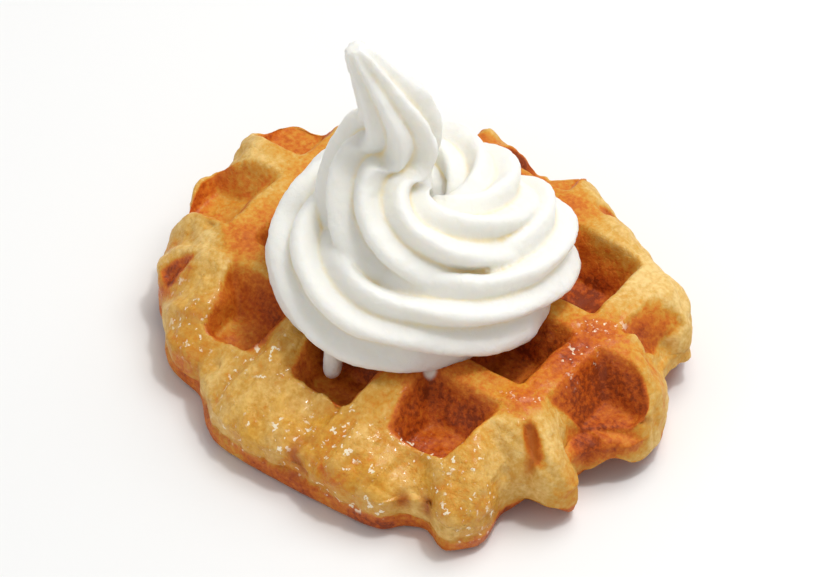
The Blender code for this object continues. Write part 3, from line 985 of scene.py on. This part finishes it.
def make_cream(flute_depth):
    """The rope, its core and the drop, fused on a grid of voxels, relaxed and frosted."""
    points, faces = fluted_rope(flute_depth)
    for more_points, more_faces in (swirl_core(), hanging_drop()):
        faces += [[corner + len(points) for corner in face] for face in more_faces]
        points = np.concatenate((points, more_points))
    cream = new_piece("cream", points, faces)
    fuse = cream.modifiers.new("fuse_turns", "REMESH")
    fuse.mode = "VOXEL"
    fuse.voxel_size = VOXEL
    keep_largest_shell(apply_modifiers(cream))
    smooth = cream.modifiers.new("relax", "SMOOTH")
    smooth.factor = 0.5
    smooth.iterations = 4
    mesh = apply_modifiers(cream)
    hollow = hollows(mesh, CREASE_ROUNDS)
    frost(mesh)
    mesh.shade_smooth()
    # How deep each point lies in a crease, for the painted glow.
    store(mesh, "hollow", np.clip(hollow / CREASE_FULL, 0.0, 1.0))
    return cream


# Materials


def new_material(name):
    material = bpy.data.materials.new(name)
    material.use_nodes = True
    tree = material.node_tree
    return material, tree, tree.nodes["Principled BSDF"]


def attribute(tree, name):
    """The number that a mesh keeps for each of its points under the name."""
    node = tree.nodes.new("ShaderNodeAttribute")
    node.attribute_name = name
    return node.outputs["Fac"]


def noise(tree, vector, scale, detail, roughness=0.5):
    """Soft noise around one half, with so many features to a metre."""
    node = tree.nodes.new("ShaderNodeTexNoise")
    node.inputs["Scale"].default_value = scale
    node.inputs["Detail"].default_value = detail
    node.inputs["Roughness"].default_value = roughness
    tree.links.new(vector, node.inputs["Vector"])
    return node.outputs["Fac"]


def maths(tree, operation, *values):
    """One step of arithmetic on sockets and numbers."""
    node = tree.nodes.new("ShaderNodeMath")
    node.operation = operation
    for socket, value in zip(node.inputs, values):
        if isinstance(value, (int, float)):
            socket.default_value = value
        else:
            tree.links.new(value, socket)
    return node.outputs[0]


def times(tree, *values):
    """The product of two sockets or numbers."""
    return maths(tree, "MULTIPLY", *values)


def plus(tree, *values):
    """The sum of two sockets or numbers."""
    return maths(tree, "ADD", *values)


def swing(tree, value, height):
    """A value around one half, moved to lie around zero and made higher."""
    return times(tree, plus(tree, value, -0.5), height)


def ramp(tree, value, stops):
    """A colour ramp with its stops as (place, colour)."""
    node = tree.nodes.new("ShaderNodeValToRGB")
    elements = node.color_ramp.elements
    while len(elements) < len(stops):
        elements.new(0.5)
    for element, (place, colour) in zip(elements, stops):
        element.position = place
        element.color = (*colour, 1.0)
    tree.links.new(value, node.inputs["Fac"])
    return node.outputs["Color"]


def grey_ramp(tree, value, stops):
    """A ramp of numbers with its stops as (place, number)."""
    return ramp(tree, value, [(place, (level, level, level)) for place, level in stops])


def eased_socket(tree, value, low, high):
    """A smooth step of the value from 0 at low to 1 at high."""
    node = tree.nodes.new("ShaderNodeMapRange")
    node.interpolation_type = "SMOOTHSTEP"
    node.inputs["From Min"].default_value = low
    node.inputs["From Max"].default_value = high
    tree.links.new(value, node.inputs["Value"])
    return node.outputs["Result"]


def mix_colour(tree, share, below, above, blend):
    """Mixes a second colour over the first by the share."""
    node = tree.nodes.new("ShaderNodeMix")
    node.data_type = "RGBA"
    node.blend_type = blend
    tree.links.new(share, node.inputs["Factor"])
    for name, value in (("A", below), ("B", above)):
        socket = next(item for item in node.inputs if item.name == name and item.type == "RGBA")
        if isinstance(value, tuple):
            socket.default_value = (*value, 1.0)
        else:
            tree.links.new(value, socket)
    return next(item for item in node.outputs if item.type == "RGBA")


def object_coordinates(tree):
    return tree.nodes.new("ShaderNodeTexCoord").outputs["Object"]


def grain_group():
    """Fine grain of food: a height for a bump, and a tone around one half."""
    group = bpy.data.node_groups.new("food_grain", "ShaderNodeTree")
    group.interface.new_socket("Vector", in_out="INPUT", socket_type="NodeSocketVector")
    group.interface.new_socket("Scale", in_out="INPUT", socket_type="NodeSocketFloat")
    group.interface.new_socket("Height", in_out="OUTPUT", socket_type="NodeSocketFloat")
    group.interface.new_socket("Tone", in_out="OUTPUT", socket_type="NodeSocketFloat")
    entry = group.nodes.new("NodeGroupInput")
    leave = group.nodes.new("NodeGroupOutput")
    coarse = group.nodes.new("ShaderNodeTexNoise")
    coarse.inputs["Detail"].default_value = 4.0
    coarse.inputs["Roughness"].default_value = 0.6
    fine = group.nodes.new("ShaderNodeTexNoise")
    fine.inputs["Detail"].default_value = 2.0
    group.links.new(entry.outputs["Vector"], coarse.inputs["Vector"])
    group.links.new(entry.outputs["Vector"], fine.inputs["Vector"])
    group.links.new(entry.outputs["Scale"], coarse.inputs["Scale"])
    group.links.new(times(group, entry.outputs["Scale"], 4.0), fine.inputs["Scale"])
    both = plus(group, times(group, coarse.outputs["Fac"], 0.7), times(group, fine.outputs["Fac"], 0.3))
    group.links.new(both, leave.inputs["Height"])
    group.links.new(coarse.outputs["Fac"], leave.inputs["Tone"])
    return group


def add_grain(tree, vector, scale):
    """Height and tone of the food's grain at a scale, from the one group."""
    node = tree.nodes.new("ShaderNodeGroup")
    node.node_tree = bpy.data.node_groups.get("food_grain") or grain_group()
    node.inputs["Scale"].default_value = scale
    tree.links.new(vector, node.inputs["Vector"])
    return node.outputs["Height"], node.outputs["Tone"]


def bump(tree, height, strength, distance, before=None):
    """Normals bent by a height, on top of those of an earlier bump."""
    node = tree.nodes.new("ShaderNodeBump")
    node.inputs["Strength"].default_value = strength
    node.inputs["Distance"].default_value = distance
    tree.links.new(height, node.inputs["Height"])
    if before:
        tree.links.new(before, node.inputs["Normal"])
    return node.outputs["Normal"]


def crust_material(look):
    """Baked dough from floury to burnt by how baked it is, painted shade and shadow included, with melted
    sugar, painted glints and tears.
    """
    material, tree, shader = new_material("golden_crust")
    place = object_coordinates(tree)
    grain_height, grain_tone = add_grain(tree, place, GRAIN_SCALE)
    mottle = noise(tree, place, MOTTLE_SCALE, 5.0, 0.65)
    slow = noise(tree, place, SLOW_SCALE, 2.0)
    pores = noise(tree, place, PORE_SCALE, 2.0)
    baked_and_shaded = attribute(tree, "baked_and_shaded")
    wet = attribute(tree, "wet")
    torn = attribute(tree, "torn")
    milky = attribute(tree, "milky")
    spread = plus(tree, 0.60, times(tree, baked_and_shaded, 0.15))
    uneven = plus(tree, swing(tree, mottle, MOTTLE_SWING), swing(tree, slow, SLOW_SWING))
    uneven = plus(tree, uneven, swing(tree, grain_tone, GRAIN_SWING))
    tone = plus(tree, baked_and_shaded, times(tree, uneven, spread))
    colour = ramp(
        tree,
        times(tree, plus(tree, tone, TONE_SHIFT), TONE_GAIN),
        [
            (0.0, tuple(look.floury)),
            (0.25, tuple(look.pale)),
            (0.405, tuple(look.golden)),
            (0.60, tuple(look.orange)),
            (0.85, tuple(look.brown)),
            (1.0, tuple(look.burnt)),
        ],
    )
    amber = eased_socket(tree, noise(tree, place, AMBER_SCALE, 3.0), 0.40, 0.62)
    share = times(tree, wet, plus(tree, 0.45, times(tree, amber, 0.55)))
    soaked = mix_colour(tree, share, colour, tuple(look.soaked), "MULTIPLY")
    # Painted glints: whitish specks, like sugar crystals, in clusters where the sugar is wettest.
    glint_specks = eased_socket(tree, noise(tree, place, GLINT_SCALE, 2.0, 0.6), *GLINT_SPECKS)
    soaking = eased_socket(tree, wet, 0.40, 0.85)
    glint_clusters = times(tree, soaking, eased_socket(tree, mottle, 0.45, 0.54))
    painted_glints = times(tree, times(tree, glint_specks, glint_clusters), GLINT_COVER)
    soaked = mix_colour(tree, painted_glints, soaked, tuple(look.painted_glint), "MIX")
    colour = mix_colour(tree, torn, soaked, tuple(look.torn), "MIX")
    patchy_film = plus(tree, milky, times(tree, mottle, 0.3))
    film = eased_socket(tree, patchy_film, 0.45, 0.9)
    colour = mix_colour(tree, film, colour, tuple(look.milky), "MIX")
    tree.links.new(colour, shader.inputs["Base Color"])
    shader.inputs["Subsurface Weight"].default_value = 0.12
    shader.inputs["Subsurface Radius"].default_value = (1.0, 0.45, 0.2)
    shader.inputs["Subsurface Scale"].default_value = 0.0015
    shader.inputs["Specular IOR Level"].default_value = 0.19
    dry, soaked_through = ROUGHNESS_DRY_WET
    gloss = grey_ramp(tree, wet, [(0.0, dry), (1.0, soaked_through)])
    tree.links.new(gloss, shader.inputs["Roughness"])
    beads = noise(tree, place, BEAD_SCALE, 3.0, 0.6)
    glazed = times(tree, wet, eased_socket(tree, mottle, 0.38, 0.56))
    tree.links.new(times(tree, glazed, GLAZE_WEIGHT), shader.inputs["Coat Weight"])
    shader.inputs["Coat Roughness"].default_value = 0.08
    rough_skin = bump(tree, grain_height, 0.45, 0.0005)
    dotted = bump(tree, eased_socket(tree, pores, 0.30, 0.42), 0.35, 0.0003, rough_skin)
    beaded = bump(tree, times(tree, beads, glazed), 0.5, 0.0006, dotted)
    tree.links.new(beaded, shader.inputs["Normal"])
    return material


def cream_material(look):
    """White cream with a painted warm glow in its creases, light that goes into it and an icy grain."""
    material, tree, shader = new_material("soft_serve_cream")
    place = object_coordinates(tree)
    grain_height, grain_tone = add_grain(tree, place, ICY_SCALE)
    patches = noise(tree, place, CREAM_PATCH_SCALE, 2.0)
    hollow = attribute(tree, "hollow")
    # Painted glow: the deeper the crease, the warmer the tint, standing for light glowing in the folds.
    painted_glow = times(tree, hollow, plus(tree, 0.5, patches))
    painted_glow = plus(tree, painted_glow, swing(tree, grain_tone, 0.2))
    light = tuple(look.colour)
    warm_glow = tuple(0.8 * a + 0.2 * b for a, b in zip(look.colour, look.crease))
    stops = [(0.20, light), (0.42, warm_glow), (0.80, tuple(look.crease))]
    tree.links.new(ramp(tree, painted_glow, stops), shader.inputs["Base Color"])
    shader.inputs["Roughness"].default_value = 0.42
    shader.inputs["Subsurface Weight"].default_value = 0.60
    shader.inputs["Subsurface Radius"].default_value = (1.0, 0.85, 0.65)
    shader.inputs["Subsurface Scale"].default_value = 0.0045
    tree.links.new(bump(tree, grain_height, 0.7, 0.0003), shader.inputs["Normal"])
    return material


def floor_material(look):
    """Plain pale floor, hardly uneven."""
    material, tree, shader = new_material("plain_floor")
    tone = noise(tree, object_coordinates(tree), FLOOR_SCALE, 2.0)
    near = tuple(look.floor)
    tree.links.new(
        ramp(tree, tone, [(0.4, near), (0.6, tuple(0.99 * level for level in near))]),
        shader.inputs["Base Color"],
    )
    shader.inputs["Roughness"].default_value = 0.7
    return material


# Stage


def add_area_light(name, power, size, place, target):
    """A round soft light of that diameter, turned to its target."""
    light = bpy.data.lights.new(name, "AREA")
    light.shape = "DISK"
    light.energy = power
    light.size = size
    item = bpy.data.objects.new(name, light)
    bpy.context.scene.collection.objects.link(item)
    item.location = place
    item.rotation_euler = (Vector(target) - Vector(place)).to_track_quat("-Z", "Y").to_euler()
    return item


def add_camera():
    """A long lens that looks down on the waffle as the photograph does."""
    azimuth, elevation = CAMERA_AZIMUTH, CAMERA_ELEVATION
    back = Vector(
        (
            math.sin(azimuth) * math.cos(elevation),
            -math.cos(azimuth) * math.cos(elevation),
            math.sin(elevation),
        )
    )
    right = Vector((math.cos(azimuth), math.sin(azimuth), 0.0))
    up = back.cross(right)
    across, above = CROSSING_IN_VIEW
    target = CROSSING - right * across / PIXELS_PER_METRE - up * above / PIXELS_PER_METRE
    lens = bpy.data.cameras.new("view")
    lens.sensor_width = SENSOR_WIDTH
    lens.lens = LENS
    lens.clip_end = 20.0
    camera = bpy.data.objects.new("view", lens)
    bpy.context.scene.collection.objects.link(camera)
    turn = Matrix((right, up, back)).transposed().to_4x4()
    camera.matrix_world = Matrix.Translation(target + back * CAMERA_DISTANCE) @ turn
    bpy.context.scene.camera = camera


class WAFFLE_OT_crust(bpy.types.Operator):
    """Build the pressed waffle with its pockets, rim and browned crust"""

    bl_idname = "waffle.crust"
    bl_label = "Waffle"

    def execute(self, context):
        look = context.scene.waffle_look
        waffle = make_waffle(look.lumpiness)
        waffle.data.materials.append(crust_material(look))
        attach(waffle, "root")
        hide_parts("waffle")
        return {"FINISHED"}


class WAFFLE_OT_cream(bpy.types.Operator):
    """Build the fluted swirl of soft-serve cream"""

    bl_idname = "waffle.cream"
    bl_label = "Soft-serve cream"

    def execute(self, context):
        look = context.scene.cream_look
        cream = make_cream(look.flute_depth)
        cream.data.materials.clear()
        cream.data.materials.append(cream_material(look))
        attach(cream, "root")
        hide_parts("soft_serve")
        return {"FINISHED"}


class WAFFLE_OT_stage(bpy.types.Operator):
    """Build the plain floor, the soft lights and the camera"""

    bl_idname = "waffle.stage"
    bl_label = "Stage"

    def execute(self, context):
        look = context.scene.stage_look
        ends = (-FLOOR_HALF, FLOOR_HALF)
        corners = [(x, y, FLOOR_LEVEL) for y in ends for x in ends]
        floor = new_piece("floor", corners, [(0, 1, 3, 2)])
        floor.data.materials.append(floor_material(look))
        add_area_light("overhead", look.overhead_power * OVERHEAD_SHARE, *OVERHEAD, LIT_MIDDLE)
        add_area_light("sparkle", look.overhead_power * SPARKLE_SHARE, *SPARKLE, LIT_MIDDLE)
        add_area_light("fill", look.fill_power, *FILL, LIT_MIDDLE)
        world = bpy.data.worlds.new("soft_room")
        world.use_nodes = True
        background = world.node_tree.nodes["Background"]
        background.inputs["Color"].default_value = (1.0, 1.0, 1.0, 1.0)
        background.inputs["Strength"].default_value = ROOM_BRIGHTNESS
        context.scene.world = world
        context.scene.view_settings.view_transform = "Standard"
        add_camera()
        return {"FINISHED"}


class WAFFLE_PT_panel(bpy.types.Panel):
    bl_idname = "WAFFLE_PT_panel"
    bl_label = "Waffle with cream"
    bl_space_type = "VIEW_3D"
    bl_region_type = "UI"
    bl_category = "Waffle"

    def draw(self, context):
        scene = context.scene
        for look in (scene.waffle_look, scene.cream_look, scene.stage_look):
            for name in look.__annotations__:
                self.layout.prop(look, name)
        for operator in OPERATORS:
            self.layout.operator(operator.bl_idname)


LOOKS = {"waffle_look": WaffleLook, "cream_look": CreamLook, "stage_look": StageLook}
OPERATORS = (WAFFLE_OT_crust, WAFFLE_OT_cream, WAFFLE_OT_stage)


def register():
    for item in (*LOOKS.values(), *OPERATORS, WAFFLE_PT_panel):
        bpy.utils.register_class(item)
    for name, look in LOOKS.items():
        setattr(bpy.types.Scene, name, PointerProperty(type=look))


def unregister():
    for name in LOOKS:
        delattr(bpy.types.Scene, name)
    for item in (WAFFLE_PT_panel, *reversed(OPERATORS), *LOOKS.values()):
        bpy.utils.unregister_class(item)


def main():
    register()
    bpy.ops.waffle.crust()
    bpy.ops.waffle.cream()
    bpy.ops.waffle.stage()


if __name__ == "__main__":
    main()
